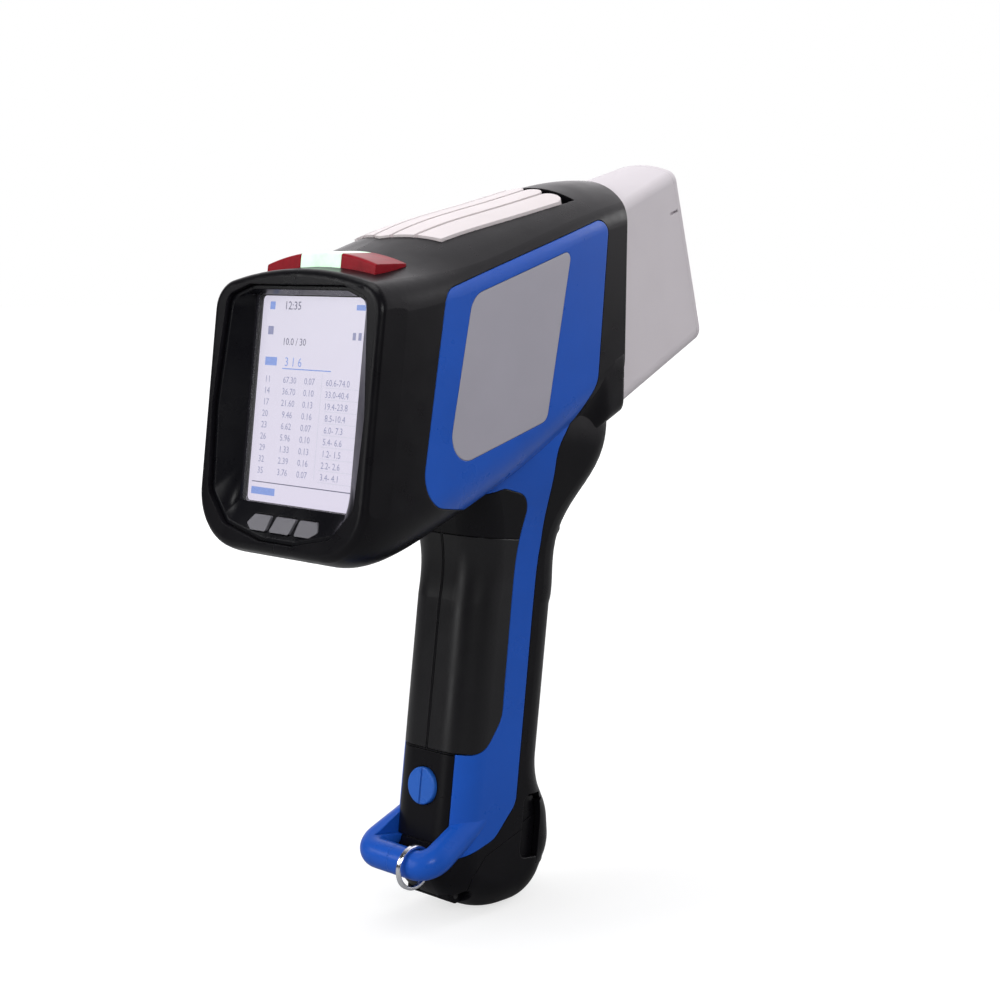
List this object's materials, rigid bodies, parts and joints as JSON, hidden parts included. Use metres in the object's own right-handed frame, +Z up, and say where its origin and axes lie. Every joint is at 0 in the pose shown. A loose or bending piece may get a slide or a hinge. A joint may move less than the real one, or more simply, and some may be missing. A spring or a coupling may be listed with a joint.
{
  "type": "handheld xrf analyzer",
  "caption": "Pistol-grip elemental analyzer with a rear touch display and keys, status lights, a ribbed heat sink, a tapering measuring nose, a trigger and a battery in its boot.",
  "frame": {"origin": "on the middle plane, at the level of the sole of the boot, under the foot of the grip axis", "axes": "+X to the operator's right, +Y forward towards the measuring nose, +Z up"},
  "size_m": [0.089, 0.2195, 0.2912],
  "materials": {
    "black_shell": "fine spark-textured charcoal moulding",
    "blue_cover": "satin blue moulding",
    "grey_inlay": "plain satin grey moulding",
    "grip_rubber": "soft-touch black elastomer",
    "bezel": "satin black moulding",
    "keys": "satin grey keys",
    "screen_glass": "flat clear window",
    "gasket": "black foam gasket",
    "display": "lit display panel",
    "circuit_board": "green laminate",
    "lens_red": "red translucent lens",
    "lens_lit": "lit clear lens",
    "heat_sink": "white-coated aluminium",
    "nose": "warm light grey coated casting",
    "steel": "plain steel",
    "film": "thin window film",
    "engine_metal": "machined aluminium",
    "inner_plastic": "black moulded parts",
    "battery": "black battery case",
    "ring_steel": "polished steel wire ring",
    "blue_button": "satin blue button"
  },
  "bodies": {
    "housing": {"housing_left": "black_shell", "housing_right": "black_shell", "housing_screws": "steel", "side_cover_left": "blue_cover", "side_cover_right": "blue_cover", "side_plate_left": "grey_inlay", "side_plate_right": "grey_inlay", "grip_pad_left": "grip_rubber", "grip_pad_right": "grip_rubber", "switch_panel": "black_shell", "power_switch": "inner_plastic", "rear_bezel": "bezel", "display_window": "screen_glass", "display_gasket": "gasket", "display_panel": "display", "main_board": "circuit_board", "keypad_board": "circuit_board", "light_lens_left": "lens_red", "light_lens_centre": "lens_lit", "light_lens_right": "lens_red", "light_board": "circuit_board", "heat_sink": "heat_sink", "nose_shell": "nose", "nose_faceplate": "nose", "window_frame": "steel", "window_film": "film", "faceplate_screws": "steel", "nose_screws": "steel", "engine_bracket": "engine_metal", "xray_tube": "steel", "detector": "engine_metal", "filter_carrier": "engine_metal", "filter_motor": "steel", "signal_board": "circuit_board", "power_supply": "inner_plastic", "trigger_pin": "steel", "trigger_spring": "steel", "trigger_switch": "inner_plastic", "battery_pack": "battery", "battery_contacts": "inner_plastic", "cover_hinge_pin": "steel"},
    "trigger": {"trigger": "black_shell"},
    "power_button": {"power_button": "blue_button"},
    "button_left": {"button_left": "keys"},
    "button_centre": {"button_centre": "keys"},
    "button_right": {"button_right": "keys"},
    "battery_cover": {"battery_cover": "black_shell", "latch_pin": "steel"},
    "cover_latch": {"cover_latch": "black_shell"},
    "lanyard_ring": {"lanyard_ring": "ring_steel"},
    "filter_wheel": {"filter_wheel": "engine_metal"}
  },
  "joints": [
    {"name": "trigger_pull", "type": "hinge", "parent": "housing", "child": "trigger", "pos_m": [0, 0.0296, 0.16416], "axis": [-1, 0, 0], "range_deg": [0, 8], "stiffness_Nm_per_rad": 0.35, "springref_deg": -8.59},
    {"name": "power_press", "type": "slide", "parent": "housing", "child": "power_button", "axis": [0, 0.9919, -0.1271], "range_m": [0, 0.001], "stiffness_N_per_m": 900, "springref_m": -0.0006},
    {"name": "button_left_press", "type": "slide", "parent": "housing", "child": "button_left", "axis": [0, 0.9919, -0.1271], "range_m": [0, 0.0008], "stiffness_N_per_m": 700, "springref_m": -0.0006},
    {"name": "button_centre_press", "type": "slide", "parent": "housing", "child": "button_centre", "axis": [0, 0.9919, -0.1271], "range_m": [0, 0.0008], "stiffness_N_per_m": 700, "springref_m": -0.0006},
    {"name": "button_right_press", "type": "slide", "parent": "housing", "child": "button_right", "axis": [0, 0.9919, -0.1271], "range_m": [0, 0.0008], "stiffness_N_per_m": 700, "springref_m": -0.0006},
    {"name": "battery_cover_hinge", "type": "hinge", "parent": "housing", "child": "battery_cover", "pos_m": [0, -0.02511, 0.00936], "axis": [-1, 0, 0], "range_deg": [0, 80]},
    {"name": "cover_latch_pivot", "type": "hinge", "parent": "battery_cover", "child": "cover_latch", "pos_m": [0, 0.01948, 0.01434], "axis": [-1, 0, 0], "range_deg": [0, 20]},
    {"name": "lanyard_ring_swing", "type": "hinge", "parent": "housing", "child": "lanyard_ring", "pos_m": [0.009, -0.0457, 0.02652], "axis": [1, 0, 0], "range_deg": [-75, 75]},
    {"name": "filter_wheel_turn", "type": "hinge", "parent": "housing", "child": "filter_wheel", "pos_m": [0, 0.09262, 0.25681], "axis": [0, 0.9613, 0.2756], "continuous": true}
  ]
}
